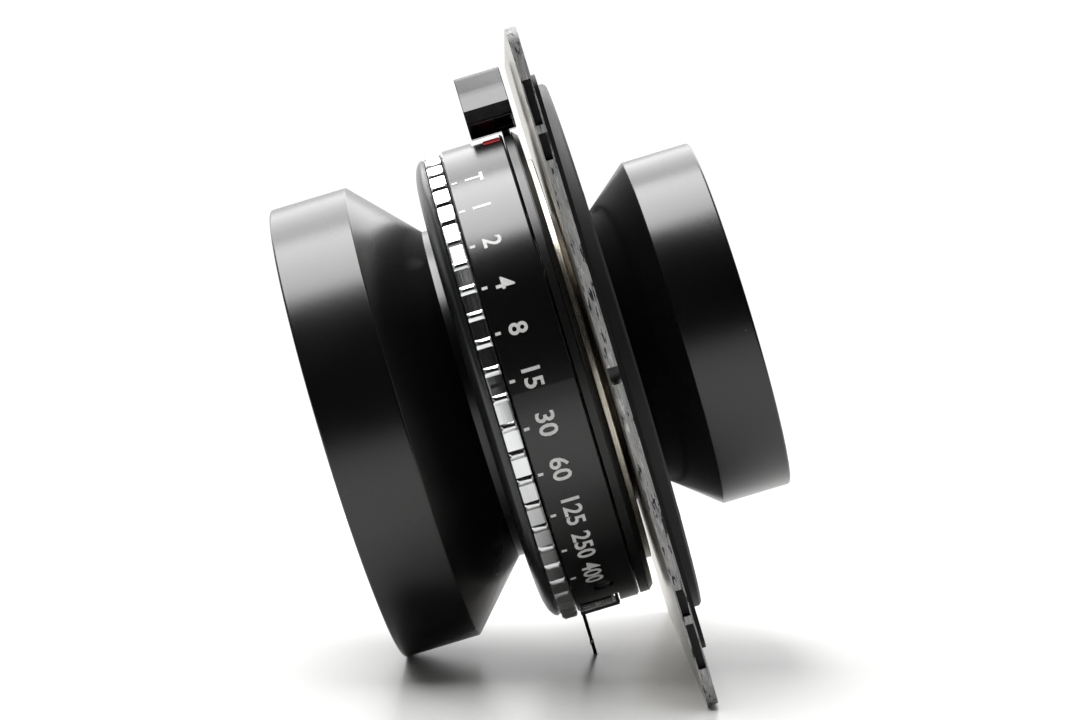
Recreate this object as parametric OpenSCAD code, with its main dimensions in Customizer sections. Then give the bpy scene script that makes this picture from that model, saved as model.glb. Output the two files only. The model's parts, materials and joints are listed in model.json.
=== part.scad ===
// Large-format taking lens in a leaf shutter, mounted on a flat lens board.
// The lens rests on a table on the lowest point of its front rim and on the
// lower front edge of its board.
//
// Every piece is drawn in the lens's own frame: the optical axis is z, the
// front face of the board is z = 0, +z points to the subject, +y is the side
// that lies uppermost and +x is the side with the centre notch in the board.
// rest_pose() then lays the lens down on the table.

/* [Front cell] */
// Radius of the front rim
front_r = 35; // [34.5:0.1:35.5]
// Distance from the board to the front rim
front_z = 40.3; // [40:0.1:41]
// Clear radius of the filter thread
filter_r = 33.25; // [33:0.05:33.5]
// Depth of the filter thread
filter_depth = 4.7; // [3:0.1:5]

/* [Shutter] */
// Radius of the shutter case
case_r = 36; // [35.8:0.05:36.2]
// Radius of the ribbed speed ring
speed_ring_r = 36.5; // [36.3:0.05:36.8]
// Number of ribs on the speed ring
rib_count = 56; // [40:1:72]
// Clear radius of the shutter with its blades open
opening_r = 15.3; // [15:0.1:15.5]
// Number of shutter blades
shutter_blade_count = 5; // [5:1:5]
// Number of iris blades
iris_blade_count = 7; // [7:1:7]
// Turn of the shutter blades from open to closed, in degrees
shutter_turn = 34; // [33:0.5:35]
// Turn of the press-focus lever that closes or opens them, in degrees
focus_turn = 20; // [16:1:22]
// Turn of the iris blades from fully open to the smallest stop, in degrees
iris_turn = 28; // [24:0.5:28]
// Travel of the aperture lever over its whole scale, in degrees
aperture_travel = 40; // [30:1:40]
// How far the resting iris is stopped down, from 0 (open) to 1
iris_rest = 0.5; // [0:0.05:1]

/* [Lens board] */
// Length of the board edge that stands up
board_h = 95.2; // [94:0.2:97]
// Length of the board edge that lies across
board_w = 98.6; // [97:0.2:100]
// Thickness of the board
board_t = 1.5; // [1.3:0.1:1.6]
// Height of the board's centre above the optical axis
board_offset = 0.3; // [0:0.1:0.6]
// Radius of the board's corners
board_corner_r = 4.5; // [2:0.5:6]

/* [Rear cell] */
// Radius of the rear rim
rear_r = 26.7; // [26.5:0.1:27]
// Distance from the board back to the rear rim
rear_z = 22.2; // [22:0.1:23]

/* [Hidden] */
$fn = 96;
run_fit = 0.1;           // radial clearance of a turning fit
gap = 0.05;              // clearance between fixed pieces that don't touch
rim_chamfer = 0.3;

// Resting pose
board_low = board_h / 2 - board_offset;
tilt = atan((board_low - front_r) / (front_z - rim_chamfer));
lift = board_low * cos(tilt);
front_reach = (front_r - rim_chamfer) * sin(tilt) + front_z * cos(tilt);
rear_reach = (rear_r - rim_chamfer) * sin(tilt) + rear_z * cos(tilt);
shift = (front_reach - rear_reach) / 2;

// Front cell stations along the axis
front_cone_z = 28.7;
neck_r = 25.4;
neck_z = 19.7;
seat_z = 18.4;           // where the cell meets the shutter
front_boss_r = 20;       // M40 thread of the front cell
front_boss_z = 11.95;
front_glass_r = 23;
inner_glass_r = 17.5;

// Shutter stations along the axis
plate_rim_z = 16.3;      // underside of the front plate's rim
plate_flat_r = 31;
hub_r = 23;              // the speed ring turns on this hub
ring_top_z = 16.1;
ring_low_z = 13.8;
case_top_z = 13.6;
case_low_z = 4.1;
case_wall = 1.4;
main_plate_z = 11.9;
main_plate_t = 0.9;
shutter_blade_z = 10.8;
focus_ring_z = 10.15;
separator_z = 9.55;
separator_t = 0.3;
iris_blade_z = 7.85;
iris_ring_z = 7.2;
iris_base_z = 6.4;
iris_base_t = 0.7;
iris_hub_r = 22.5;       // the iris ring turns on this hub
focus_hub_r = 25.5;      // the press-focus ring turns on this hub
ring_t = 0.5;            // thickness of the two blade rings
blade_t = 0.12;
blade_step = 0.2;        // spacing of the blade levels
release_z = 5.1;
cocking_low_z = 2.75;
cocking_top_z = 3.9;
cocking_hub_r = 23.9;
cover_z = 1.8;
cover_top_z = 2.65;
flange_r = 31.2;
flange_z = 0.8;
collar_r = 22.4;
tube_r = 19.5;           // M39 thread of the shutter
tube_bore_r = 18;
tube_seat_r = tube_r + 0.03; // bores of the rings that sit on the tube
board_hole_r = 20.9;

// Rear cell and the back of the board
trap_side = 82;
trap_t = 0.8;
trap_disc_r = 40.8;
trap_disc_t = 1.9;
trap_disc_offset = 0.6;
trap_hole_r = 25;
trap_recess = 0.1;       // the trap plate is let into the back of the board
trap_recess_side = 83.2;
rear_cone_z = 11.9;
rear_root_r = 20.5;
rear_root_z = 4.4;
rear_boss_r = 17.9;
rear_glass_r = 19;
rear_inner_glass_r = 15;

// Glass surfaces: vertices along the axis and radii of curvature
front_top_z = 34.5;
front_joint_z = 25.5;
front_low_z = 23;
inner_top_z = 18.9;
inner_low_z = 14.95;
outer_curve = 58;
joint_curve = 90;
hollow_curve = 70;
inner_curve = 36;
stop_curve = 60;
rear_stop_z = 1.0;
rear_inner_z = -3.2;
rear_top_z = -8.1;
rear_joint_z = -10.4;
rear_low_z = -19.2;

// Blade layout: pivots lie outside the arcs that the blades sweep
shutter_pivot_r = 30.4;
shutter_blade_w = 11.4;
shutter_stud_r = 27.6;
iris_pivot_r = 28;
iris_blade_w = 8;
iris_stud_r = 25.2;
plate_screw_at_r = 27.6; // the front plate's screws lie on this circle
plate_screw_z = seat_z - 0.7;
pin_r = 0.6;
stud_r = 0.45;
socket_r = 2.05;         // body of the cable and flash sockets in the case
slot_steps = 16;

// Places round the axis, in degrees from +x towards +y
cocking_angle = 90;
release_angle = 172;
cable_angle = 190;
focus_angle = 222;
shutter_start = focus_angle - focus_turn / 2 + 180 / shutter_blade_count;
sync_angle = 236;
aperture_angle = -92;
iris_start = aperture_angle + 180 / iris_blade_count;
dimple_angle = -60;
dimple_z = 8.9;
dimple_depth = 0.9;
mark_angle = 80.5;
release_sweep = 8;

// Lays the lens down on the table, with the table top at z = 0
module rest_pose() {
    translate([0, shift, lift]) rotate([90 + tilt, 0, 0]) children();
}

// A flat ring from z0 up to z1
module ring(outer, inner, z0, z1) {
    rotate_extrude()
        translate([inner, z0]) square([outer - inner, z1 - z0]);
}

// A sector of a flat ring, from angle a0 to a1
module ring_sector(outer, inner, z0, z1, a0, a1) {
    rotate([0, 0, a0]) rotate_extrude(angle = a1 - a0)
        translate([inner, z0]) square([outer - inner, z1 - z0]);
}

// Copies the children round the axis
module around(count, start = 0) {
    for (i = [0 : count - 1]) rotate([0, 0, start + i * 360 / count]) children();
}

// Depth of a spherical cap of the given curvature at radius r
function sag(curve, r) = curve - sqrt(curve * curve - r * r);

// A solid glass between two spherical surfaces, whose vertices are at top_z
// and low_z. bulge is +1 where a surface bulges towards +z, and -1 towards -z.
module glass(r, top_z, top_curve, top_bulge, low_z, low_curve, low_bulge) {
    fine = 720;
    body_top = max(top_z, top_z - top_bulge * sag(top_curve, r));
    body_low = min(low_z, low_z - low_bulge * sag(low_curve, r));
    rotate_extrude() difference() {
        intersection() {
            translate([0, body_low]) square([r, body_top - body_low]);
            if (top_bulge > 0) translate([0, top_z - top_curve]) circle(r = top_curve, $fn = fine);
            if (low_bulge < 0) translate([0, low_z + low_curve]) circle(r = low_curve, $fn = fine);
        }
        if (top_bulge < 0) translate([0, top_z + top_curve]) circle(r = top_curve, $fn = fine);
        if (low_bulge > 0) translate([0, low_z - low_curve]) circle(r = low_curve, $fn = fine);
    }
}

// ---------------------------------------------------------------- board

module board_outline(inset = 0) {
    w = board_w / 2 - board_corner_r;
    h = board_h / 2 - board_corner_r;
    translate([0, board_offset]) union() {
        square([2 * w, board_h - 2 * inset], center = true);
        square([board_w - 2 * inset, 2 * h], center = true);
        for (x = [-w, w], y = [-h, h]) translate([x, y]) circle(r = board_corner_r - inset);
    }
}

// A pocket sunk in the edge of the board that has the centre notch
module edge_pocket(y0, y1) {
    skin = 0.22;
    depth = 1.3;
    translate([board_w / 2 - depth, y0, -board_t + skin])
        cube([depth + 1, y1 - y0, board_t - 2 * skin]);
}

module lens_board() {
    notch_r = 1.25;
    notch_y = board_offset - 0.9;
    pockets = [[34.7, 41], [29.9, 33.6]];
    color("silver") difference() {
        translate([0, 0, -board_t]) linear_extrude(board_t) board_outline();
        translate([0, 0, -board_t - 1]) cylinder(r = board_hole_r, h = board_t + 2);
        translate([-trap_recess_side / 2, board_offset - trap_recess_side / 2, -board_t - 1])
            cube([trap_recess_side, trap_recess_side, 1 + trap_recess]);
        for (pocket = pockets) {
            edge_pocket(notch_y + pocket[0], notch_y + pocket[1]);
            edge_pocket(notch_y - pocket[1], notch_y - pocket[0]);
        }
        translate([board_w / 2, notch_y, -board_t - 1]) cylinder(r = notch_r, h = board_t + 2);
    }
}

module light_trap_plate() {
    corner = 3;
    half = trap_side / 2 - corner;
    color("dimgray") difference() {
        translate([0, board_offset, -board_t - trap_t]) linear_extrude(trap_t + trap_recess) union() {
            square([2 * half, trap_side], center = true);
            square([trap_side, 2 * half], center = true);
            for (x = [-half, half], y = [-half, half]) translate([x, y]) circle(r = corner);
        }
        translate([0, 0, -board_t - trap_t - 1]) cylinder(r = trap_hole_r, h = trap_t + 2);
    }
}

module light_trap_disc() {
    top = -board_t - trap_t - gap;
    edge = 0.35;
    color("#2b2c2e") difference() {
        translate([0, trap_disc_offset, 0]) rotate_extrude() polygon([
            [0, top], [trap_disc_r, top], [trap_disc_r, top - trap_disc_t + edge],
            [trap_disc_r - edge, top - trap_disc_t], [0, top - trap_disc_t]
        ]);
        translate([0, 0, top - trap_disc_t - 1]) cylinder(r = trap_hole_r, h = trap_disc_t + 2);
    }
}

module trap_rivets() {
    rivet_r = 1.4;
    rivet_at_r = 33;
    head = 0.3;
    top = -board_t - trap_t - gap - trap_disc_t;
    color("gray") around(4, 45) translate([rivet_at_r, 0, 0]) rotate_extrude()
        polygon([[0, top], [rivet_r, top], [rivet_r * 0.7, top - head], [0, top - head]]);
}

module retaining_ring() {
    outer = 24.4;
    low = -4.1;
    notch_w = 2.4;
    color("#303030") difference() {
        ring(outer, tube_seat_r, low, -board_t + trap_recess);
        around(4) translate([outer - 1.8, -notch_w / 2, low - 1]) cube([3, notch_w, 2.2]);
    }
}

// -------------------------------------------------------------- shutter

module mounting_flange() {
    bevel = 0.15;
    color("#c9c2b0") rotate_extrude() polygon([
        [tube_seat_r, flange_z], [flange_r - bevel, flange_z], [flange_r, flange_z + bevel],
        [flange_r, cover_z - bevel], [flange_r - bevel, cover_z], [tube_seat_r, cover_z]
    ]);
}

module shutter_collar() {
    color("#26241f") ring(collar_r, tube_seat_r, 0, flange_z);
}

module shutter_tube() {
    color("#3a3a3a") ring(tube_r, tube_bore_r, -4, iris_base_z);
}

module rear_cover() {
    bevel = 0.8;
    color("#151515") rotate_extrude() polygon([
        [tube_seat_r, cover_z], [case_r - gap - bevel, cover_z], [case_r - gap, cover_z + bevel],
        [case_r - gap, cover_top_z], [cocking_hub_r, cover_top_z], [cocking_hub_r, case_low_z - gap],
        [tube_seat_r, case_low_z - gap]
    ]);
}

// Slot through the case wall that a lever sweeps along
module case_slot(z0, z1, a0, a1) {
    ring_sector(case_r + 1, case_r - case_wall - 1, z0, z1, a0, a1);
}

module shutter_case() {
    recess_z0 = 4.5;
    recess_z1 = 8.9;
    groove = 0.25;
    inner = case_r - case_wall;
    half = aperture_travel / 2;
    slot_spare = 3.8;
    dimple_r = 1.45;
    socket_hole_r = 2.1;
    color("#161616") difference() {
        rotate_extrude() polygon([
            [inner, case_low_z], [case_r - 0.3, case_low_z], [case_r, case_low_z + 0.3],
            [case_r, case_top_z - groove], [case_r - groove, case_top_z], [inner, case_top_z]
        ]);
        ring_sector(case_r + 1, case_r - 0.45, recess_z0, recess_z1, 76, 104);
        case_slot(iris_ring_z - 0.15, iris_ring_z + ring_t + 0.15,
            aperture_angle - half - slot_spare, aperture_angle + half + slot_spare);
        case_slot(focus_ring_z - 0.15, focus_ring_z + ring_t + 0.15,
            focus_angle - focus_turn - 4, focus_angle + 4);
        case_slot(release_z - 0.15, release_z + 0.85, release_angle - 5, release_angle + release_sweep + 5);
        rotate([0, 0, dimple_angle]) translate([case_r - dimple_depth, 0, dimple_z]) rotate([0, 90, 0])
            cylinder(r = dimple_r, h = 2);
        for (a = [cable_angle, sync_angle]) rotate([0, 0, a]) translate([case_r - 2, 0, socket_z(a)])
            rotate([0, 90, 0]) cylinder(r = socket_hole_r, h = 3);
    }
}

function socket_z(angle) = angle == cable_angle ? 9.4 : 9.0;

module main_plate() {
    hole_r = 1.2;
    hole_at_r = 28;
    color("#8c8c84") difference() {
        ring(case_r - case_wall - gap, front_boss_r + gap, main_plate_z, main_plate_z + main_plate_t);
        around(3, 30) translate([hole_at_r, 0, main_plate_z - 1]) cylinder(r = hole_r, h = 3);
    }
}

module blade_separator() {
    color("#77756c") {
        ring(case_r - case_wall - gap, opening_r, separator_z, separator_z + separator_t);
        ring(focus_hub_r, focus_hub_r - 1.5, separator_z + separator_t, focus_ring_z + 0.45);
    }
}

module iris_base() {
    color("#8c8c84") {
        ring(case_r - case_wall - gap, opening_r, iris_base_z, iris_base_z + iris_base_t);
        ring(iris_hub_r, iris_hub_r - 1.5, iris_base_z + iris_base_t, iris_ring_z + 0.45);
    }
}

// Domed front plate with the hub that the speed ring turns on
module front_plate() {
    rim_r = 35.6;
    dome = 2.1;
    well_r = 1.5;
    foot_z = main_plate_z + main_plate_t;
    steps = 6;
    color("#1b1b1c") difference() {
        rotate_extrude() polygon(concat(
            [[front_boss_r + gap, foot_z], [hub_r, foot_z], [hub_r, plate_rim_z], [rim_r - 0.3, plate_rim_z]],
            [for (i = [0 : steps])
                [plate_flat_r + (rim_r - plate_flat_r) * cos(90 * i / steps),
                 plate_rim_z + 0.3 + (dome - 0.3) * sin(90 * i / steps)]],
            [[front_boss_r + gap, plate_rim_z + dome]]
        ));
        around(3, 60) translate([plate_screw_at_r, 0, plate_screw_z]) cylinder(r = well_r, h = 2);
    }
}

module front_plate_screws() {
    screw_r = 1.4;
    slot_w = 0.4;
    color("gray") around(3, 60) translate([plate_screw_at_r, 0, plate_screw_z]) difference() {
        cylinder(r = screw_r, h = 0.55);
        translate([-2, -slot_w / 2, 0.25]) cube([4, slot_w, 1]);
    }
}

// Threaded nipple that takes a cable release
module cable_socket() {
    collar_outer_r = 2.6;
    bore_r = 1.2;
    color("silver") rotate([0, 0, cable_angle]) translate([case_r - case_wall, 0, socket_z(cable_angle)])
        rotate([0, 90, 0]) difference() {
            union() {
                cylinder(r = socket_r, h = 4);
                translate([0, 0, 2]) cylinder(r = collar_outer_r, h = 4.2);
            }
            translate([0, 0, 1.2]) cylinder(r = bore_r, h = 6);
        }
}

// Coaxial terminal for a flash lead
module sync_terminal() {
    sleeve_r = 2.3;
    sleeve_bore_r = 1.75;
    floor_z = 1.8;
    color("silver") rotate([0, 0, sync_angle]) translate([case_r - case_wall, 0, socket_z(sync_angle)])
        rotate([0, 90, 0]) difference() {
            union() {
                cylinder(r = socket_r, h = 2.5);
                translate([0, 0, 2]) cylinder(r = sleeve_r, h = 3.4);
            }
            translate([0, 0, floor_z]) cylinder(r = sleeve_bore_r, h = 6);
        }
}

module sync_contact() {
    color("goldenrod") rotate([0, 0, sync_angle]) translate([case_r - case_wall, 0, socket_z(sync_angle)])
        rotate([0, 90, 0]) translate([0, 0, 1.8]) cylinder(r = 0.6, h = 2.9);
}

// Slotted screw at the bottom of a recess in the case
module side_screw() {
    screw_r = 1.3;
    slot_w = 0.34;
    color("dimgray") rotate([0, 0, dimple_angle]) translate([case_r - dimple_depth, 0, dimple_z])
        rotate([0, 90, 0]) difference() {
            cylinder(r = screw_r, h = 0.5);
            translate([-2, -slot_w / 2, 0.25]) cube([4, slot_w, 1]);
        }
}

// Red index under the thumb piece of the cocking lever
module index_mark() {
    color("red") ring_sector(case_r - 0.2, case_r - 0.45, 4.6, 7.1, mark_angle - 3, mark_angle + 3);
}

// Thin curved scale that the aperture lever runs along
module aperture_scale() {
    half = aperture_travel / 2 + 2.5;
    color("#202020") ring_sector(case_r + 0.15, case_r, iris_ring_z + ring_t + 0.5, 12.9,
        aperture_angle - half, aperture_angle + half);
}

// ---------------------------------------------------------- speed ring

module speed_ring() {
    inner = 33.3;
    web_z = 14.8;
    web_t = 0.6;
    rib_r = 0.75;
    bevel = 0.3;
    color("gainsboro") difference() {
        rotate_extrude() polygon([
            [inner, ring_low_z], [speed_ring_r, ring_low_z], [speed_ring_r, ring_top_z - bevel],
            [speed_ring_r - bevel, ring_top_z], [inner, ring_top_z], [inner, web_z + web_t],
            [hub_r + run_fit, web_z + web_t], [hub_r + run_fit, web_z], [inner, web_z]
        ]);
        around(rib_count) translate([speed_ring_r + 0.25, 0, ring_low_z - 1])
            cylinder(r = rib_r, h = ring_top_z - ring_low_z + 2);
    }
}

// Cam plate under the web of the speed ring, with a stepped cam window
module speed_cam() {
    color("#9a948a") difference() {
        ring(32.8, hub_r + run_fit, ring_low_z + 0.1, 14.7);
        for (i = [0 : 5])
            ring_sector(31.6 - i * 0.6, 27.5, ring_low_z - 1, 16, 100 + i * 11, 109 + i * 11);
    }
}

// ---------------------------------------------------------------- iris

// Where a stud at radius q_r sits, when its blade has turned by angle a about
// a pivot at radius p_r
function stud_at(p_r, q_r, a) = [p_r - (p_r - q_r) * cos(a), -(p_r - q_r) * sin(a)];

function turned(p, a) = [p[0] * cos(a) - p[1] * sin(a), p[0] * sin(a) + p[1] * cos(a)];

// Slot that a stud needs in a ring turning by ring_per_blade degrees for each
// degree of the blade, drawn in the ring's place at blade angle 0
module cam_slot(p_r, q_r, a0, a1, ring_per_blade, width) {
    path = [for (i = [0 : slot_steps])
        let (a = a0 + (a1 - a0) * i / slot_steps)
        turned(stud_at(p_r, q_r, a), -a * ring_per_blade)];
    inner = [for (p = path) p * (1 - width / 2 / norm(p))];
    outer = [for (i = [slot_steps : -1 : 0]) path[i] * (1 + width / 2 / norm(path[i]))];
    polygon(concat(inner, outer));
    translate(path[0]) circle(d = width);
    translate(path[slot_steps]) circle(d = width);
}

// A crescent blade in its fully open place. Its pivot is on +x.
module blade_outline(p_r, inner, width, root, tip) {
    ear_r = 1.9;
    difference() {
        union() {
            intersection() {
                difference() {
                    circle(r = inner + width);
                    circle(r = inner);
                }
                polygon(concat([[0, 0]], [for (i = [0 : 6])
                    let (a = root + (tip - root) * i / 6) [60 * cos(a), 60 * sin(a)]]));
            }
            translate([inner + 1, -ear_r]) square([p_r - inner - 1, 2 * ear_r]);
            translate([p_r, 0]) circle(r = ear_r);
        }
        translate([p_r, 0]) circle(r = pin_r + gap);
    }
}

// Places a blade: level along z, slot round the axis, turned on its pivot
module blade(index, count, base_z, p_r, q_r, inner, width, root, tip, turn, stud_z) {
    rotate([0, 0, index * 360 / count]) translate([p_r, 0, 0]) rotate([0, 0, turn]) translate([-p_r, 0, 0]) {
        translate([0, 0, base_z + index * blade_step]) linear_extrude(blade_t)
            blade_outline(p_r, inner, width, root, tip);
        translate([q_r, 0, stud_z]) cylinder(r = stud_r, h = base_z + index * blade_step - stud_z + blade_t / 2);
    }
}

module iris_blade(index) {
    color("#4a4a4c") rotate([0, 0, iris_start])
        blade(index, iris_blade_count, iris_blade_z, iris_pivot_r, iris_stud_r, opening_r + 0.2,
            iris_blade_w, -12, 150, iris_turn * iris_rest, iris_ring_z + gap);
}

module shutter_blade(index) {
    color("#3c3d40") rotate([0, 0, shutter_start])
        blade(index, shutter_blade_count, shutter_blade_z, shutter_pivot_r, shutter_stud_r, opening_r,
            shutter_blade_w, -6, 120, shutter_turn, focus_ring_z + gap);
}

module iris_pins() {
    color("silver") for (i = [0 : iris_blade_count - 1])
        rotate([0, 0, iris_start + i * 360 / iris_blade_count])
        translate([iris_pivot_r, 0, iris_base_z + iris_base_t])
            cylinder(r = pin_r, h = iris_blade_z + i * blade_step + blade_t - iris_base_z - iris_base_t);
}

module shutter_pins() {
    foot = separator_z + separator_t;
    color("silver") for (i = [0 : shutter_blade_count - 1])
        rotate([0, 0, shutter_start + i * 360 / shutter_blade_count])
        translate([shutter_pivot_r, 0, foot])
            cylinder(r = pin_r, h = shutter_blade_z + i * blade_step + blade_t - foot);
}

// Ring with one cam slot per blade. place is the ring's angle at rest.
module slotted_ring(outer, inner, z, count, start, place, p_r, q_r, turn, ratio) {
    spare = 0.6;
    difference() {
        ring(outer, inner, z, z + ring_t);
        translate([0, 0, z - 1]) linear_extrude(ring_t + 2)
            for (i = [0 : count - 1]) rotate([0, 0, start + place + i * 360 / count])
                cam_slot(p_r, q_r, -spare, turn + spare, ratio, 2 * stud_r + 0.3);
    }
}

module iris_ring() {
    ratio = aperture_travel / iris_turn;
    color("#b08d4a") slotted_ring(27, iris_hub_r + run_fit, iris_ring_z, iris_blade_count, iris_start,
        aperture_travel * iris_rest, iris_pivot_r, iris_stud_r, iris_turn, ratio);
}

module focus_ring() {
    ratio = focus_turn / shutter_turn;
    color("#b08d4a") slotted_ring(29.5, focus_hub_r + run_fit, focus_ring_z, shutter_blade_count,
        shutter_start, focus_turn, shutter_pivot_r, shutter_stud_r, shutter_turn, ratio);
}

// Sprung strip that carries the pointer of the iris
module aperture_lever() {
    foot_r = case_r + 0.3;
    foot_t = 0.5;
    blade_z = 12.8;
    tip_r = 43.6;
    color("#202020") {
        ring_sector(foot_r + foot_t / 2, 27, iris_ring_z, iris_ring_z + ring_t, aperture_angle - 3.4,
            aperture_angle + 3.4);
        ring_sector(foot_r + foot_t, foot_r, iris_ring_z + 0.1, blade_z + 0.6, aperture_angle - 4.2,
            aperture_angle + 4.2);
        rotate([0, 0, aperture_angle]) translate([0, 0, blade_z]) linear_extrude(0.5) union() {
            polygon([[foot_r + 0.25, -2.4], [tip_r - 1.6, -1.4], [tip_r - 1.6, 1.4], [foot_r + 0.25, 2.4]]);
            translate([tip_r - 1.6, 0]) circle(r = 1.6);
        }
    }
}

module focus_lever() {
    color("#202020") {
        ring_sector(case_r + 1, 29.5, focus_ring_z, focus_ring_z + ring_t, focus_angle - 3,
            focus_angle + 3);
        difference() {
            ring_sector(case_r + 4.5, case_r + 0.4, focus_ring_z - 0.8, focus_ring_z + 1.3,
                focus_angle - 3, focus_angle + 3);
            ring_sector(case_r + 1, case_r, focus_ring_z, focus_ring_z + ring_t, focus_angle - 4,
                focus_angle + 4);
        }
    }
}

module release_lever() {
    color("#202020") {
        ring_sector(34.3, 28.5, release_z, release_z + 0.7, release_angle - 18, release_angle + 14);
        ring_sector(case_r + 5.5, 34.3, release_z, release_z + 0.7, release_angle - 2.6,
            release_angle + 2.6);
        difference() {
            ring_sector(case_r + 6, case_r + 2.5, release_z - 1.2, release_z + 2, release_angle - 4,
                release_angle + 4);
            ring_sector(case_r + 5.5, case_r + 1, release_z, release_z + 0.7, release_angle - 2.6,
                release_angle + 2.6);
        }
    }
}

// ---------------------------------------------------------- cocking lever

module cocking_arm() {
    arm_half = 3.2;
    root_r = cocking_hub_r + 4;
    tip_r = case_r + 5.5;
    rotate([0, 0, cocking_angle]) translate([root_r, -arm_half, cocking_low_z])
        cube([tip_r - root_r, 2 * arm_half, cocking_top_z - cocking_low_z]);
}

module cocking_ring() {
    color("#1c1c1c") {
        ring(case_r - 0.15, cocking_hub_r + run_fit, cocking_low_z, cocking_top_z);
        cocking_arm();
    }
}

// Roof-shaped thumb block: its two broad faces slope down from a narrow top
module cocking_thumb() {
    low_z = 1.6;
    length = 7;
    top = [0.8, 45.8];
    crease = [5.3, 40.5];
    widest = [6.5, 38.3];
    bottom = [3.4, 36.3];
    side = [top, crease, widest, bottom];
    color("#101010") difference() {
        translate([0, 0, low_z]) linear_extrude(length)
            polygon(concat(side, [for (i = [len(side) - 1 : -1 : 0]) [-side[i][0], side[i][1]]]));
        cocking_arm();
    }
}

// ------------------------------------------------------------- front cell

module front_barrel() {
    lip = 15.6;
    cavity_r = 32.4;
    cavity_z = front_z - filter_depth;
    seat_low = 18.95;
    color("#121212") rotate_extrude() polygon([
        [filter_r, front_z], [front_r - rim_chamfer, front_z], [front_r, front_z - rim_chamfer],
        [front_r, front_cone_z], [neck_r, neck_z], [neck_r, seat_z], [front_boss_r, seat_z],
        [front_boss_r, front_boss_z], [lip, front_boss_z], [lip, front_boss_z + 0.25],
        [inner_glass_r + gap, front_boss_z + 0.25], [inner_glass_r + gap, seat_low],
        [front_glass_r + gap, seat_low], [front_glass_r + gap, 29.65], [cavity_r, 33.1],
        [cavity_r, cavity_z], [filter_r, cavity_z]
    ]);
}

module front_name_ring() {
    outer = 32.35;
    inner = 21.8;
    color("#171717") rotate_extrude() polygon([
        [inner, 30.35], [front_glass_r + 0.2, 29.85], [outer, 33.25], [outer, 34.9], [inner + 0.8, 31.35],
        [inner, 31.1]
    ]);
}

module front_glass_1() {
    color("#9ab0c8") glass(front_glass_r, front_top_z, outer_curve, 1, front_joint_z, joint_curve, -1);
}

module front_glass_2() {
    color("#b7c0a8") glass(front_glass_r, front_joint_z, joint_curve, -1, front_low_z, hollow_curve, 1);
}

module front_spacer() {
    color("#202020") ring(inner_glass_r, inner_glass_r - 0.8, inner_top_z - sag(inner_curve, inner_glass_r - 0.8),
        18.9);
}

module front_glass_3() {
    color("#a8a0c0") glass(inner_glass_r, inner_top_z, inner_curve, 1, inner_low_z, stop_curve, 1);
}

// -------------------------------------------------------------- rear cell

module rear_barrel() {
    wall_r = 25.2;
    cavity_r = 24.7;
    boss_top = 3.3;
    lip = 13.9;
    seat_z1 = -5.35;
    color("#121212") rotate_extrude() polygon([
        [rear_root_r, -rear_root_z], [rear_r, -rear_cone_z], [rear_r, -rear_z + rim_chamfer],
        [rear_r - rim_chamfer, -rear_z], [wall_r, -rear_z], [wall_r, -19], [cavity_r, -19],
        [cavity_r, -17.3], [rear_glass_r + gap, -16.1], [rear_glass_r + gap, seat_z1],
        [rear_inner_glass_r + gap, seat_z1], [rear_inner_glass_r + gap, boss_top - 0.3],
        [lip, boss_top - 0.3], [lip, boss_top], [rear_boss_r, boss_top], [rear_boss_r, -rear_root_z]
    ]);
}

module rear_name_ring() {
    color("#171717") rotate_extrude() polygon([
        [17.6, -17.8], [rear_glass_r + 0.1, -16.35], [24.65, -17.5], [24.65, -18.9], [17.9, -18.4]
    ]);
}

module rear_glass_1() {
    color("#a8a0c0") glass(rear_inner_glass_r, rear_stop_z, stop_curve, -1, rear_inner_z, inner_curve, -1);
}

module rear_spacer() {
    color("#202020") ring(rear_inner_glass_r, rear_inner_glass_r - 0.7, -5.3, -0.3);
}

module rear_glass_2() {
    color("#b7c0a8") glass(rear_glass_r, rear_top_z, hollow_curve, -1, rear_joint_z, joint_curve, 1);
}

module rear_glass_3() {
    color("#9ab0c8") glass(rear_glass_r, rear_joint_z, joint_curve, 1, rear_low_z, outer_curve, -1);
}

rest_pose() lens_board();
rest_pose() light_trap_plate();
rest_pose() light_trap_disc();
rest_pose() trap_rivets();
rest_pose() retaining_ring();
rest_pose() mounting_flange();
rest_pose() shutter_collar();
rest_pose() shutter_tube();
rest_pose() rear_cover();
rest_pose() shutter_case();
rest_pose() main_plate();
rest_pose() blade_separator();
rest_pose() iris_base();
rest_pose() front_plate();
rest_pose() front_plate_screws();
rest_pose() cable_socket();
rest_pose() sync_terminal();
rest_pose() sync_contact();
rest_pose() side_screw();
rest_pose() index_mark();
rest_pose() aperture_scale();
rest_pose() shutter_pins();
rest_pose() iris_pins();
rest_pose() speed_ring();
rest_pose() speed_cam();
rest_pose() aperture_lever();
rest_pose() iris_ring();
rest_pose() iris_blade(0);  // iris_blade_1
rest_pose() iris_blade(1);  // iris_blade_2
rest_pose() iris_blade(2);  // iris_blade_3
rest_pose() iris_blade(3);  // iris_blade_4
rest_pose() iris_blade(4);  // iris_blade_5
rest_pose() iris_blade(5);  // iris_blade_6
rest_pose() iris_blade(6);  // iris_blade_7
rest_pose() cocking_ring();
rest_pose() cocking_thumb();
rest_pose() release_lever();
rest_pose() focus_lever();
rest_pose() focus_ring();
rest_pose() shutter_blade(0);  // shutter_blade_1
rest_pose() shutter_blade(1);  // shutter_blade_2
rest_pose() shutter_blade(2);  // shutter_blade_3
rest_pose() shutter_blade(3);  // shutter_blade_4
rest_pose() shutter_blade(4);  // shutter_blade_5
rest_pose() front_barrel();
rest_pose() front_name_ring();
rest_pose() front_glass_1();
rest_pose() front_glass_2();
rest_pose() front_spacer();
rest_pose() front_glass_3();
rest_pose() rear_barrel();
rest_pose() rear_name_ring();
rest_pose() rear_glass_1();
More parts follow.
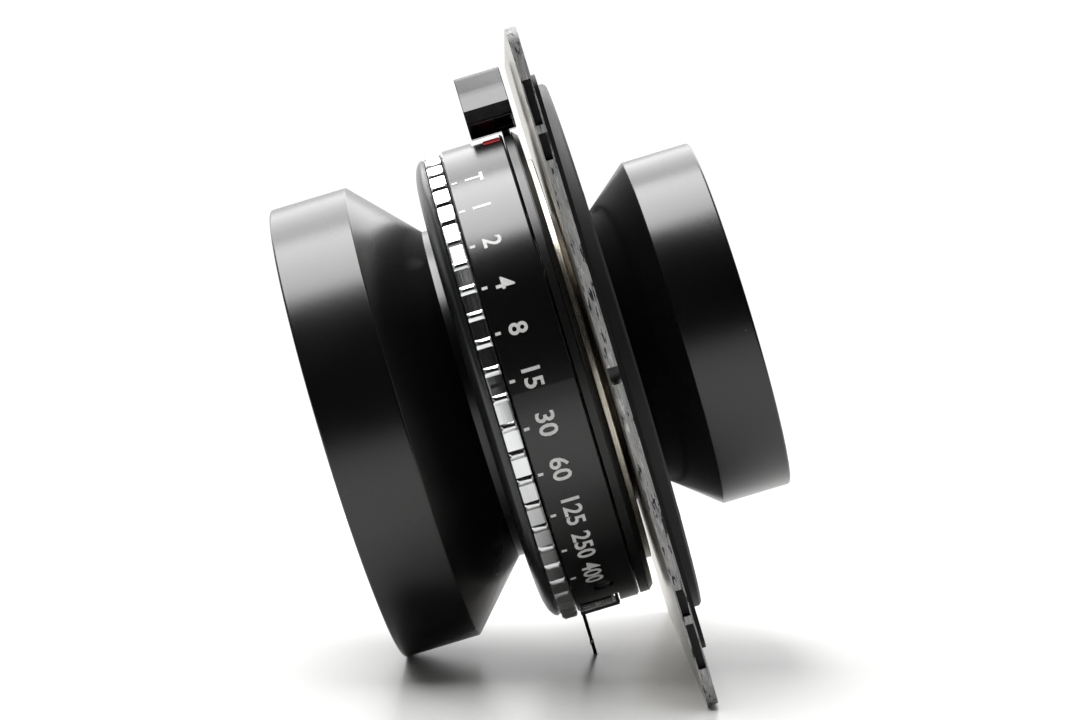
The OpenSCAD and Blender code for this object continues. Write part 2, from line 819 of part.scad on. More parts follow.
rest_pose() rear_spacer();
rest_pose() rear_glass_2();
rest_pose() rear_glass_3();
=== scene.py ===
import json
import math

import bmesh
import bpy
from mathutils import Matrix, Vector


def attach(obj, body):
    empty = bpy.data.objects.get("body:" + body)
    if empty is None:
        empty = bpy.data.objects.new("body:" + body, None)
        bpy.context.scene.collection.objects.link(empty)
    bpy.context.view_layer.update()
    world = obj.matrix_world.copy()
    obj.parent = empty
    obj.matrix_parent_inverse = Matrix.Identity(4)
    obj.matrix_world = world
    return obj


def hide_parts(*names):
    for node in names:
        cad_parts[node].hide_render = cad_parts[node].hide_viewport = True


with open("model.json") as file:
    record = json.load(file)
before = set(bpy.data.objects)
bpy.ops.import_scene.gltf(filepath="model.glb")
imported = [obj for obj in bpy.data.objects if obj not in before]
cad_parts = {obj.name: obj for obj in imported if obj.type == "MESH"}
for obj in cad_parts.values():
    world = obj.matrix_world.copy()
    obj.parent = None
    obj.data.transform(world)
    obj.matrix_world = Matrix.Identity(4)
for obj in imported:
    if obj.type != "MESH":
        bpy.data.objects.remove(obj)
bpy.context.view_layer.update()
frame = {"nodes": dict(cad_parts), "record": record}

# The looks of a large-format taking lens in a leaf shutter, on a flat lens board.
#
# Pieces are drawn in the lens's own frame, in millimetres: z is the optical axis towards
# the subject, z = 0 is the front face of the board, +y is the side that lies uppermost
# and +x is the side with the centre notch in the board. LENS lays it in the shared frame.

MM = 0.001
MERGE_WITHIN = 0.0005 * MM
SHORTEST_EDGE = 0.0002 * MM


# ---------------------------------------------------------------- the lens's own frame

def lens_matrix():
    """From the lens's own frame to the shared frame, read from two of the record's mounts."""
    mounts = {mount["name"]: mount for mount in frame["record"]["mounts"]}
    board_t = 1.5 * MM
    axis = Vector(mounts["front_rim"]["axis"]).normalized()
    on_axis = Vector(mounts["front_rim"]["pos_m"])
    board_back = Vector(mounts["board_rear_face"]["pos_m"])
    origin = on_axis + axis * ((board_back - on_axis).dot(axis) + board_t)
    across = Vector((1, 0, 0))
    matrix = Matrix((across, axis.cross(across), axis)).transposed().to_4x4()
    matrix.translation = origin
    return matrix


LENS = lens_matrix()


def local_box(node):
    """Lowest and highest corner of a CAD node in the lens's own frame, in millimetres."""
    inverse = LENS.inverted()
    points = [inverse @ v.co / MM for v in frame["nodes"][node].data.vertices]
    low = Vector([min(p[i] for p in points) for i in range(3)])
    high = Vector([max(p[i] for p in points) for i in range(3)])
    return low, high


# ------------------------------------------------------------------------ mesh helpers

def add_mesh(name, points, faces):
    """A mesh object drawn in the lens's own frame, from points in millimetres."""
    mesh = bpy.data.meshes.new(name)
    mesh.from_pydata([Vector(p) * MM for p in points], [], faces)
    build = bmesh.new()
    build.from_mesh(mesh)
    bmesh.ops.remove_doubles(build, verts=build.verts, dist=MERGE_WITHIN)
    bmesh.ops.dissolve_degenerate(build, edges=build.edges, dist=SHORTEST_EDGE)
    bmesh.ops.recalc_face_normals(build, faces=build.faces)
    build.to_mesh(mesh)
    build.free()
    obj = bpy.data.objects.new(name, mesh)
    bpy.context.scene.collection.objects.link(obj)
    obj.matrix_world = LENS
    return obj


def rounded(corners):
    """A closed outline whose corners are (u, v) or (u, v, radius of the rounding)."""
    most_of_side = 0.48
    steps = 4
    outline = []
    for i, corner in enumerate(corners):
        here = Vector(corner[:2])
        back = Vector(corners[i - 1][:2]) - here
        ahead = Vector(corners[(i + 1) % len(corners)][:2]) - here
        radius = corner[2] if len(corner) > 2 else 0
        if radius == 0:
            outline.append(here)
            continue
        reach = radius / math.tan(back.angle(ahead) / 2)
        reach = min(reach, back.length * most_of_side, ahead.length * most_of_side)
        start = here + back.normalized() * reach
        end = here + ahead.normalized() * reach
        for k in range(steps + 1):
            t = k / steps
            outline.append(start * (1 - t) ** 2 + here * 2 * t * (1 - t) + end * t * t)
    return outline


def sweep(name, rings, closed=True):
    """Joins equal lists of points, which go once round the axis, into a skin."""
    count = len(rings[0])
    points = [p for ring in rings for p in ring]
    faces = []
    for j in range(len(rings)):
        a = j * count
        b = (j + 1) % len(rings) * count
        for i in range(count if closed else count - 1):
            k = (i + 1) % count
            faces.append((a + i, b + i, b + k, a + k))
    return add_mesh(name, points, faces)


def at_angle(a, outline):
    """Points of an outline of (radius, z), turned to an angle round the optical axis."""
    return [(p[0] * math.cos(a), p[0] * math.sin(a), p[1]) for p in outline]


def lathe(name, corners, segments, closed=True):
    """Turns an outline of (radius, z) round the optical axis."""
    outline = rounded(corners) if closed else [Vector(c) for c in corners]
    rings = [at_angle(math.tau * j / segments, outline) for j in range(segments)]
    return sweep(name, rings, closed)


def prism(name, corners, low, high):
    """Extrudes an outline of (x, y) from z = low to z = high."""
    outline = rounded(corners)
    count = len(outline)
    points = [(p[0], p[1], low) for p in outline] + [(p[0], p[1], high) for p in outline]
    faces = [tuple(range(count)), tuple(range(count, 2 * count))]
    faces += [(i, (i + 1) % count, (i + 1) % count + count, i + count) for i in range(count)]
    return add_mesh(name, points, faces)


def rod(name, radius, low, high, segments=48):
    """A cylinder along z at the axis, used as a cutter or a small trim piece."""
    return lathe(name, [(0, low), (radius, low), (radius, high), (0, high)], segments, closed=False)


def turn(obj, degrees, shift=(0, 0, 0)):
    """Moves a piece's mesh by shift (millimetres), then round the optical axis."""
    obj.data.transform(Matrix.Rotation(math.radians(degrees), 4, "Z")
                       @ Matrix.Translation(Vector(shift) * MM))
    return obj


def bake_modifiers(obj):
    """Writes the modifiers' result into the mesh."""
    bpy.context.view_layer.update()
    graph = bpy.context.evaluated_depsgraph_get()
    mesh = bpy.data.meshes.new_from_object(obj.evaluated_get(graph))
    obj.modifiers.clear()
    obj.data = mesh


def cut(obj, cutters):
    """Takes the cutters' shapes away from obj."""
    for cutter in cutters:
        modifier = obj.modifiers.new("cut", "BOOLEAN")
        modifier.operation = "DIFFERENCE"
        modifier.solver = "EXACT"
        modifier.object = cutter
    bake_modifiers(obj)
    for cutter in cutters:
        bpy.data.objects.remove(cutter)


def soften(obj, width, segments, angle):
    """Rounds every edge sharper than angle by width, in millimetres."""
    modifier = obj.modifiers.new("bevel", "BEVEL")
    modifier.width = width * MM
    modifier.segments = segments
    modifier.limit_method = "ANGLE"
    modifier.angle_limit = math.radians(angle)
    bake_modifiers(obj)


def finish_piece(obj, body, material, replaced=(), smooth_angle=38):
    """Shades a piece, gives it its finish and fixes it to a CAD body."""
    obj.data.shade_smooth()
    obj.data.set_sharp_from_angle(angle=math.radians(smooth_angle))
    modifier = obj.modifiers.new("normals", "WEIGHTED_NORMAL")
    modifier.keep_sharp = True
    bake_modifiers(obj)
    obj.data.transform(LENS)
    obj.matrix_world = Matrix.Identity(4)
    obj.data.materials.clear()
    obj.data.materials.append(material)
    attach(obj, body)
    if replaced:
        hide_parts(*replaced)


# --------------------------------------------------------------------------- materials

class Finish:
    """A procedural material on one Principled shader. Lengths are millimetres."""

    def __init__(self, name, **constants):
        self.material = bpy.data.materials.new(name)
        self.material.use_nodes = True
        self.tree = self.material.node_tree
        self.shader = self.tree.nodes["Principled BSDF"]
        for socket, value in constants.items():
            self.shader.inputs[socket.replace("_", " ")].default_value = value
        self.coords = self.add("ShaderNodeTexCoord")
        to_lens = self.add("ShaderNodeMapping", vector_type="TEXTURE")
        to_lens.inputs["Location"].default_value = LENS.translation
        to_lens.inputs["Rotation"].default_value = LENS.to_euler()
        self.feed(to_lens.inputs["Vector"], self.coords.outputs["Object"])
        self.place = self.scaled(to_lens.outputs[0], 1 / MM)
        self.last_bump = None

    def add(self, kind, **properties):
        node = self.tree.nodes.new(kind)
        for key, value in properties.items():
            setattr(node, key, value)
        return node

    def feed(self, socket, source):
        if isinstance(source, bpy.types.NodeSocket):
            self.tree.links.new(source, socket)
        elif isinstance(source, tuple) and len(source) == 3 and socket.type == "RGBA":
            socket.default_value = (*source, 1)
        else:
            socket.default_value = source

    def scaled(self, vector, factor):
        node = self.add("ShaderNodeVectorMath", operation="SCALE")
        self.feed(node.inputs[0], vector)
        node.inputs["Scale"].default_value = factor
        return node.outputs[0]

    def stretched(self, vector, factors):
        node = self.add("ShaderNodeVectorMath", operation="MULTIPLY")
        self.feed(node.inputs[0], vector)
        node.inputs[1].default_value = factors
        return node.outputs[0]

    def split(self, vector):
        node = self.add("ShaderNodeSeparateXYZ")
        self.feed(node.inputs[0], vector)
        return node.outputs

    def maths(self, operation, a, b=0.0):
        node = self.add("ShaderNodeMath", operation=operation)
        self.feed(node.inputs[0], a)
        self.feed(node.inputs[1], b)
        return node.outputs[0]

    def distance(self, x, y):
        """Distance from the origin in the xy plane."""
        squares = self.maths("ADD", self.maths("MULTIPLY", x, x), self.maths("MULTIPLY", y, y))
        return self.maths("SQRT", squares)

    def along_axis(self, vector):
        """How far a direction points along the optical axis, from -1 to 1."""
        node = self.add("ShaderNodeVectorMath", operation="DOT_PRODUCT")
        self.feed(node.inputs[0], vector)
        node.inputs[1].default_value = LENS.col[2].to_3d()
        return node.outputs["Value"]

    def polar(self):
        """Radius, arc length at one set radius, and z, for turned and brushed marks."""
        arc_radius = 30.0
        x, y, z = self.split(self.place)
        radius = self.distance(x, y)
        arc = self.maths("MULTIPLY", self.maths("ARCTAN2", y, x), arc_radius)
        node = self.add("ShaderNodeCombineXYZ")
        for socket, source in zip(node.inputs, (radius, arc, z)):
            self.feed(socket, source)
        return node.outputs[0]

    def noise(self, scale, detail=3.0, vector=None, roughness=0.55, warp=0.0):
        node = self.add("ShaderNodeTexNoise")
        self.feed(node.inputs["Vector"], vector or self.place)
        node.inputs["Scale"].default_value = scale
        node.inputs["Detail"].default_value = detail
        node.inputs["Roughness"].default_value = roughness
        node.inputs["Distortion"].default_value = warp
        return node.outputs["Fac"]

    def specks(self, scale, size, share):
        """1 on small spots: scale cells per millimetre, of which share have a spot."""
        node = self.add("ShaderNodeTexVoronoi")
        self.feed(node.inputs["Vector"], self.place)
        node.inputs["Scale"].default_value = scale
        spot = self.span(node.outputs["Distance"], size, size * 1.6, 1.0, 0.0)
        red = self.split(node.outputs["Color"])[0]
        chosen = self.span(red, 1 - share, 1 - share + 0.01, 0.0, 1.0)
        return self.maths("MULTIPLY", spot, chosen)

    def span(self, source, low, high, out_low, out_high):
        node = self.add("ShaderNodeMapRange")
        self.feed(node.inputs["Value"], source)
        for socket, value in zip(("From Min", "From Max", "To Min", "To Max"),
                                 (low, high, out_low, out_high)):
            self.feed(node.inputs[socket], value)
        return node.outputs["Result"]

    def mix(self, share, a, b):
        node = self.add("ShaderNodeMix", data_type="RGBA")
        self.feed(node.inputs[0], share)
        self.feed(node.inputs[6], a)
        self.feed(node.inputs[7], b)
        return node.outputs[2]

    def bump(self, height, depth):
        """Adds relief of this depth on top of the relief already there."""
        node = self.add("ShaderNodeBump")
        node.inputs["Strength"].default_value = 1.0
        node.inputs["Distance"].default_value = depth * MM
        self.feed(node.inputs["Height"], height)
        if self.last_bump:
            self.feed(node.inputs["Normal"], self.last_bump)
        self.last_bump = node.outputs["Normal"]
        self.feed(self.shader.inputs["Normal"], self.last_bump)

    def set(self, socket, source):
        self.feed(self.shader.inputs[socket], source)


def black_finish(name, tint, rough, grain=0.004, dust=0.2, worn=0.0, ior=1.5):
    """Black anodising or paint: faint smudges, fine grain, a little dust, rubbed marks."""
    dust_grey = (0.35, 0.35, 0.34)
    rubbed_grey = (0.16, 0.16, 0.165)
    m = Finish(name, IOR=ior)
    smudge = m.noise(0.05, 2.0)
    grain_noise = m.noise(7.0, 2.0)
    lighter = tuple(min(1, c * 1.6 + 0.001) for c in tint)
    colour = m.mix(m.span(smudge, 0.35, 0.7, 0.0, 1.0), tint, lighter)
    dust_spots = m.specks(0.3, 0.018, dust)
    colour = m.mix(m.maths("MULTIPLY", dust_spots, 0.35), colour, dust_grey)
    if worn:
        streaks = m.noise(1.0, 8.0, m.stretched(m.polar(), (1.2, 0.5, 5.0)), roughness=0.7)
        rub = m.span(streaks, 0.68, 0.74, 0.0, worn)
        colour = m.mix(rub, colour, rubbed_grey)
    m.set("Base Color", colour)
    m.set("Roughness", m.span(smudge, 0.3, 0.7, rough - 0.02, rough + 0.03))
    m.bump(grain_noise, grain)
    return m.material


def turned_metal(name, tint, dark, rough, marks=0.3, stain=0.35, depth=0.004):
    """Bare metal with turning marks round the axis, stains and fine nicks."""
    m = Finish(name, Metallic=1.0)
    rings = m.noise(1.0, 4.0, m.stretched(m.polar(), (9.0, 0.08, 9.0)))
    stains = m.noise(0.35, 5.0, warp=1.0)
    colour = m.mix(m.span(stains, 0.45, 0.75, 0.0, stain), tint, dark)
    colour = m.mix(m.span(rings, 0.35, 0.7, 0.0, marks), colour, dark)
    nicks = m.specks(0.55, 0.06, 0.2)
    m.set("Base Color", m.mix(m.maths("MULTIPLY", nicks, 0.5), colour, dark))
    m.set("Roughness", m.span(rings, 0.3, 0.75, rough - 0.06, rough + 0.12))
    m.bump(rings, depth)
    m.bump(nicks, -0.02)
    return m.material


def plain_metal(name, tint, dark, rough, scale=2.5):
    """Small metal parts: slight tarnish and a fine tumbled surface."""
    m = Finish(name, Metallic=1.0)
    cloud = m.noise(scale, 4.0)
    m.set("Base Color", m.mix(m.span(cloud, 0.4, 0.7, 0.0, 0.7), tint, dark))
    m.set("Roughness", m.span(cloud, 0.3, 0.7, rough - 0.05, rough + 0.1))
    m.bump(m.noise(scale * 4, 3.0), 0.006)
    return m.material


def board_metal():
    """Aged bare metal in front, painted black behind, and rubbed edges between the two. The same
    black also covers the edge faces inward of the near edge, such as the bore and the pocket walls,
    where it is painted shade inside the pockets.
    """
    bare_tint, tarnish, streak = (0.56, 0.54, 0.49), (0.40, 0.365, 0.30), (0.27, 0.235, 0.18)
    edge_tint, edge_hair, scar_tint = (0.52, 0.52, 0.515), (0.34, 0.34, 0.34), (0.80, 0.79, 0.77)
    dull_corner = (0.20, 0.20, 0.20)
    paint_and_shade_tint, paint_and_shade_faded = (0.010, 0.010, 0.011), (0.025, 0.025, 0.025)
    corner_from, corner_to = 43.5, 46.0
    pockets_end = 42.4
    m = Finish("board_metal")
    low, high = local_box("lens_board")
    facing = m.along_axis(m.coords.outputs["Normal"])
    along = m.stretched(m.place, (1.0, 0.16, 1.0))
    stains = m.noise(0.09, 7.0, roughness=0.6, warp=0.6)
    bands = m.noise(1.6, 4.0, m.stretched(m.place, (1.0, 0.02, 1.0)))
    scars = m.noise(2.2, 6.0, along, roughness=0.6)
    hairs = m.noise(5.0, 4.0, m.stretched(m.place, (1.0, 0.08, 1.0)))
    bare = m.mix(m.span(stains, 0.45, 0.7, 0.0, 0.7), bare_tint, tarnish)
    bare = m.mix(m.span(bands, 0.5, 0.65, 0.0, 0.22), bare, streak)
    rubbed = m.mix(m.span(hairs, 0.42, 0.6, 0.0, 1.0), edge_tint, edge_hair)
    rubbed = m.mix(m.span(scars, 0.60, 0.66, 0.0, 1.0), rubbed, scar_tint)
    front = m.span(facing, 0.3, 0.6, 0.0, 1.0)
    back = m.span(facing, -0.55, -0.85, 0.0, 1.0)
    edge = m.maths("SUBTRACT", m.maths("SUBTRACT", 1.0, front), back)
    x, y = m.split(m.place)[:2]
    across = m.maths("ABSOLUTE", m.maths("SUBTRACT", y, (low.y + high.y) / 2))
    border = m.maths("MINIMUM", m.maths("SUBTRACT", high.x, m.maths("ABSOLUTE", x)),
                     m.maths("SUBTRACT", (high.y - low.y) / 2, across))
    near_corner = m.span(across, corner_from, corner_to, 0.0, 0.75)
    rubbed = m.mix(near_corner, rubbed, dull_corner)
    # Painted shade: edge faces inward of the near edge (the pocket walls, also the notch, the bore
    # and the far edge) get the black, which darkens the pockets as their shade would.
    sunk_paint_and_shade = m.maths("MULTIPLY", m.span(x, high.x - 0.5, high.x - 0.2, 1.0, 0.0),
                   m.span(across, pockets_end, pockets_end + 0.5, 1.0, 0.0))
    chipped = m.span(scars, 0.43, 0.40, 0.0, 1.0)
    near_border = m.span(border, 0.0, 2.5, 0.13, -0.03)
    flaked = m.span(m.maths("ADD", scars, near_border), 0.68, 0.73, 1.0, 0.0)
    edge_paint_and_shade = m.maths("MULTIPLY", edge, m.maths("MAXIMUM", sunk_paint_and_shade, chipped))
    paint_and_shade_share = m.maths("MAXIMUM", m.maths("MULTIPLY", back, flaked), edge_paint_and_shade)
    metal = m.maths("SUBTRACT", 1.0, paint_and_shade_share)
    paint = m.mix(m.span(stains, 0.4, 0.7, 0.0, 1.0), paint_and_shade_tint, paint_and_shade_faded)
    m.set("Base Color", m.mix(metal, paint, m.mix(front, rubbed, bare)))
    m.set("Metallic", m.maths("MULTIPLY", metal, m.span(edge, 0.0, 1.0, 1.0, 0.25)))
    m.set("Roughness", m.span(front, 0.0, 1.0, 0.52, 0.34))
    m.bump(scars, 0.012)
    return m.material


def coated_glass(name, tint, film, alpha, ior):
    """Clear glass that darkens what lies behind it a little, with a coated surface.

    film is the coating's thickness in nanometres, which gives its hue.
    """
    coating_ior = 1.38
    m = Finish(name, IOR=ior, Alpha=alpha, Thin_Film_Thickness=film, Thin_Film_IOR=coating_ior)
    smear = m.noise(0.12, 3.0, warp=0.8)
    paler = tuple(min(1, c * 1.6) for c in tint)
    m.set("Base Color", m.mix(m.span(smear, 0.4, 0.7, 0.0, 1.0), tint, paler))
    m.set("Roughness", m.span(smear, 0.45, 0.8, 0.02, 0.07))
    return m.material


def enamel(name, tint):
    """Filled or printed marks, slightly uneven."""
    rough = 0.4
    m = Finish(name)
    cloud = m.noise(3.0, 4.0)
    darker = tuple(c * 0.85 for c in tint)
    m.set("Base Color", m.mix(m.span(cloud, 0.4, 0.75, 0.0, 1.0), tint, darker))
    m.set("Roughness", m.span(cloud, 0.3, 0.7, rough - 0.08, rough + 0.1))
    m.bump(cloud, 0.004)
    return m.material


def gloss_plastic(name, tint, rough):
    """Moulded plastic, polished by handling, with hairline scratches."""
    scratch_grey = (0.12, 0.12, 0.12)
    m = Finish(name, IOR=1.52)
    cloud = m.noise(0.2, 3.0)
    hairs = m.noise(1.0, 6.0, m.stretched(m.place, (3.0, 3.0, 0.25)), warp=0.3)
    scratch = m.span(hairs, 0.64, 0.7, 0.0, 1.0)
    m.set("Base Color", m.mix(m.maths("MULTIPLY", scratch, 0.35), tint, scratch_grey))
    m.set("Roughness", m.span(cloud, 0.3, 0.7, rough - 0.03, rough + 0.05))
    m.bump(scratch, -0.003)
    return m.material


BARREL = black_finish("barrel_anodised", (0.0028, 0.0028, 0.0031), 0.26, ior=1.62)
CASE = black_finish("shutter_lacquer", (0.0026, 0.0026, 0.0028), 0.22, grain=0.003, worn=0.1,
                    ior=1.62)
PLATE = black_finish("front_plate_lacquer", (0.010, 0.0105, 0.011), 0.25, grain=0.006,
                     worn=0.45, ior=1.62)
NAME_RING = black_finish("ring_anodised", (0.008, 0.008, 0.0085), 0.36)
INNER_BLACK = black_finish("flat_black", (0.005, 0.005, 0.005), 0.7, grain=0.01, dust=0.1)
TRAP = black_finish("trap_lacquer", (0.022, 0.022, 0.023), 0.45, grain=0.01, worn=0.5, ior=1.33)
LEVER = black_finish("lever_black", (0.006, 0.006, 0.006), 0.3, worn=0.25)
SCALE = black_finish("scale_black", (0.007, 0.007, 0.0075), 0.34)
COLLAR = turned_metal("browned_metal", (0.10, 0.085, 0.065), (0.03, 0.025, 0.02), 0.4)
RING_SILVER = turned_metal("polished_silver", (0.86, 0.87, 0.88), (0.62, 0.63, 0.64), 0.17,
                           0.25, 0.12)
FLANGE = turned_metal("aged_nickel", (0.80, 0.76, 0.66), (0.42, 0.36, 0.26), 0.26, 0.35, 0.6, 0.01)
INNER_METAL = turned_metal("inner_metal", (0.50, 0.49, 0.46), (0.28, 0.27, 0.25), 0.35)
TUBE = turned_metal("blackened_tube", (0.07, 0.07, 0.072), (0.02, 0.02, 0.02), 0.45)
CHROME = plain_metal("socket_chrome", (0.80, 0.80, 0.81), (0.55, 0.54, 0.52), 0.16)
SCREW = plain_metal("screw_steel", (0.42, 0.42, 0.43), (0.16, 0.155, 0.15), 0.3, 4.0)
BRASS = plain_metal("brass", (0.72, 0.52, 0.24), (0.40, 0.26, 0.10), 0.3)
BLADE = turned_metal("blade_steel", (0.20, 0.205, 0.22), (0.09, 0.09, 0.10), 0.34, 0.5, 0.3)
BOARD = board_metal()
THUMB = gloss_plastic("thumb_plastic", (0.004, 0.004, 0.0045), 0.17)
RED = enamel("red_paint", (0.62, 0.02, 0.025))
WHITE = enamel("white_paint", (0.97, 0.97, 0.95))
BLACK = enamel("black_paint", (0.01, 0.01, 0.01))
FRONT_GLASS = coated_glass("coated_glass_front", (0.004, 0.006, 0.010), 125.0, 0.2, 1.6)
INNER_GLASS = coated_glass("coated_glass_inner", (0.006, 0.005, 0.004), 150.0, 0.05, 1.25)


# ------------------------------------------------------------------------- the cells

def thread(radius, depth, start, pitch, turns):
    """Corners of a thread's profile, cut outwards into a wall, going along z."""
    corners = []
    for k in range(turns):
        z = start + k * pitch
        corners += [(radius, z), (radius, z + 0.2 * pitch), (radius + depth, z + 0.5 * pitch),
                    (radius, z + 0.8 * pitch)]
    return corners


def ridges(start, end, count, depth):
    """Corners of fine steps along a line between two points of a profile."""
    a, b = Vector(start), Vector(end)
    along = (b - a) / count
    inward = Vector((along.y, -along.x)).normalized() * depth
    corners = []
    for k in range(count):
        foot = a + along * k
        corners += [tuple(foot), tuple(foot + along * 0.35 + inward)]
    return corners + [tuple(b)]


def front_barrel():
    """The front cell's housing, with the filter thread in its mouth."""
    low, high = local_box("front_barrel")
    rim_r = high.x
    rim_z = high.z
    filter_r = 33.25
    filter_z = 35.6
    chamfer = 0.25
    neck_r = 25.4
    neck_z = 18.4
    mount_r = 20
    lip_r = 15.6
    lip_z = low.z + 0.25
    inner_seat_r = 17.55
    front_seat_r = 23.05
    step_z = 18.95
    ring_seat_r = 32.4
    grooves = thread(filter_r, 0.32, filter_z + 0.3, 0.75, 5)
    corners = [
        (filter_r, filter_z), *grooves, (filter_r, rim_z - chamfer),
        (filter_r + chamfer, rim_z), (rim_r, rim_z, 0.35), (rim_r, 28.7, 0.55),
        (neck_r, 19.7, 0.2), (neck_r, neck_z, 0.12), (mount_r, neck_z), (mount_r, low.z),
        (lip_r, low.z), (lip_r, lip_z), (inner_seat_r, lip_z), (inner_seat_r, step_z),
        (front_seat_r, step_z), (front_seat_r, 29.65), (ring_seat_r, 33.1),
        (ring_seat_r, filter_z)]
    barrel = lathe("front_barrel_shell", corners, 320)
    finish_piece(barrel, "shutter_body", BARREL, ["front_barrel"], 30)


def rear_barrel():
    """The rear cell's housing."""
    low, high = local_box("rear_barrel")
    rim_r = high.x
    shoulder_z = -4.4
    mouth_r = 25.2
    ring_seat_r = 24.7
    ring_lip_z = -19
    rear_seat_r = 19.05
    inner_seat_r = 15.05
    step_z = -5.35
    lip_r = 13.9
    lip_z = high.z - 0.3
    mount_r = 17.9
    corners = [
        (20.5, shoulder_z, 0.1), (rim_r, -11.9, 0.5), (rim_r, low.z, 0.4),
        (mouth_r, low.z, 0.15), (mouth_r, ring_lip_z), (ring_seat_r, ring_lip_z),
        (ring_seat_r, -17.3), (rear_seat_r, -16.1), (rear_seat_r, step_z),
        (inner_seat_r, step_z), (inner_seat_r, lip_z), (lip_r, lip_z), (lip_r, high.z),
        (mount_r, high.z), (mount_r, shoulder_z)]
    barrel = lathe("rear_barrel_shell", corners, 288)
    finish_piece(barrel, "shutter_body", BARREL, ["rear_barrel"], 30)


def name_rings():
    """The stepped rings in front of and behind the glasses, left without lettering."""
    face = ridges((32.0, 34.78), (23.0, 31.5), 18, 0.1)
    front = [(21.8, 30.35), (23.2, 29.85), (32.35, 33.25), (32.35, 34.75), *face,
             (21.8, 31.1, 0.1)]
    ring = lathe("front_name_ring_face", front, 288)
    finish_piece(ring, "shutter_body", NAME_RING, ["front_name_ring"], 20)
    face = ridges((18.1, -18.42), (24.4, -18.87), 12, 0.08)
    rear = [(17.6, -17.8), (17.9, -18.35, 0.08), *face, (24.65, -18.8), (24.65, -17.5),
            (19.1, -16.35)]
    ring = lathe("rear_name_ring_face", rear, 288)
    finish_piece(ring, "shutter_body", NAME_RING, ["rear_name_ring"], 20)


def cap(radius, vertex, curve, bulge):
    """Points of a spherical surface from the axis outwards; bulge is +1 towards +z."""
    steps = 28
    points = []
    for k in range(steps + 1):
        r = radius * k / steps
        points.append((r, vertex - bulge * (curve - math.sqrt(curve * curve - r * r))))
    return points


def blacken_edge(glass, radius):
    """Paints the ground edge of a glass flat black, as an optician does."""
    slack = 0.02
    glass.data.materials.append(INNER_BLACK)
    inverse = LENS.inverted()
    for face in glass.data.polygons:
        reach = min((inverse @ glass.data.vertices[i].co).to_2d().length for i in face.vertices)
        if reach > (radius - slack) * MM:
            face.material_index = 1


def glasses():
    """Each glass: radius, then vertex, curvature and bulge of its two sides, and material."""
    gap = 0.03
    side_gap = 0.05
    surfaces = {
        "front_glass_1": (23, (34.5, 58, 1), (25.5 + gap, 90, -1), FRONT_GLASS),
        "front_glass_2": (23, (25.5, 90, -1), (23.0, 70, 1), INNER_GLASS),
        "front_glass_3": (17.5, (18.9, 36, 1), (14.95, 60, 1), INNER_GLASS),
        "rear_glass_1": (15, (1.0, 60, -1), (-3.2, 36, -1), INNER_GLASS),
        "rear_glass_2": (19, (-8.1, 70, -1), (-10.4, 90, 1), INNER_GLASS),
        "rear_glass_3": (19, (-10.4 - gap, 90, 1), (-19.2, 58, -1), FRONT_GLASS),
    }
    for node, (radius, upper, lower, material) in surfaces.items():
        edge_r = radius - side_gap
        outline = cap(edge_r, *upper) + cap(edge_r, *lower)[::-1]
        glass = lathe(node + "_lens", outline, 192, closed=False)
        finish_piece(glass, "shutter_body", material, [node], 30)
        blacken_edge(glass, edge_r)


# ----------------------------------------------------------------------- the shutter

def front_plate():
    """The shutter's domed front, with a turned groove and three screw wells."""
    low, high = local_box("front_plate")
    rim_r = high.x
    flat_r = 31
    rim_z = 16.3
    side_h = 0.3
    bore_r = 20.05
    foot_r = 23
    groove_r = 29.7
    groove = 0.2
    well_r, well_floor_z, well_top_z = 1.5, 17.7, 19.5
    well_at_r, first_well = 27.6, 60
    steps = 10
    dome = []
    for k in range(steps + 1):
        a = math.pi / 2 * k / steps
        r = flat_r + (rim_r - flat_r) * math.cos(a)
        z = rim_z + side_h + (high.z - rim_z - side_h) * math.sin(a)
        dome.append((r, z))
    corners = [(bore_r, low.z), (foot_r, low.z), (foot_r, rim_z), (rim_r - 0.25, rim_z), *dome,
               (groove_r + groove, high.z), (groove_r, high.z - groove),
               (groove_r - groove, high.z), (bore_r, high.z)]
    plate = lathe("front_plate_dome", corners, 288)
    wells = []
    for k in range(3):
        well = rod("well", well_r, well_floor_z, well_top_z)
        wells.append(turn(well, first_well + 120 * k, (well_at_r, 0, 0)))
    cut(plate, wells)
    finish_piece(plate, "shutter_body", PLATE, ["front_plate"], 30)


def rib_radius(angle, count, outer):
    """Outer radius of the speed ring at an angle: flat facets between narrow round ribs."""
    flat_r = outer - 0.42
    half_rib = 0.55
    pitch = math.tau / count
    off = (angle + pitch / 2) % pitch - pitch / 2
    facet_off = off - math.copysign(pitch / 2, off)
    facet = flat_r / math.cos(facet_off) * math.cos(half_rib / flat_r)
    arc = abs(off) * outer
    if arc >= half_rib:
        return min(facet, outer)
    bulge = math.sqrt(1 - (arc / half_rib) ** 2)
    return facet + (outer - facet) * bulge


def speed_ring():
    """The bright ring that sets the exposure time, with facets between fine ribs."""
    low, high = local_box("speed_ring")
    outer = high.x
    count = 56
    samples = 24
    inner = 33.3
    web_low, web_high = 14.8, 15.4
    hub = 23.1
    bevel = 0.32
    foot = 0.3
    rings = []
    for j in range(count * samples):
        a = math.tau * j / (count * samples)
        r = rib_radius(a, count, outer)
        edge = min(r - 0.06, outer - bevel)
        profile = [
            (inner, low.z), (min(r, outer - 0.2) - 0.1, low.z), (r - 0.02, low.z + 0.22),
            (r, low.z + foot), (r, high.z - bevel), (edge, high.z - 0.03),
            (edge - 0.05, high.z), (inner, high.z), (inner, web_high), (hub, web_high),
            (hub, web_low), (inner, web_low)]
        rings.append(at_angle(a, profile))
    ring = sweep("speed_ring_ribbed", rings)
    finish_piece(ring, "speed_dial", RING_SILVER, ["speed_ring"], 34)


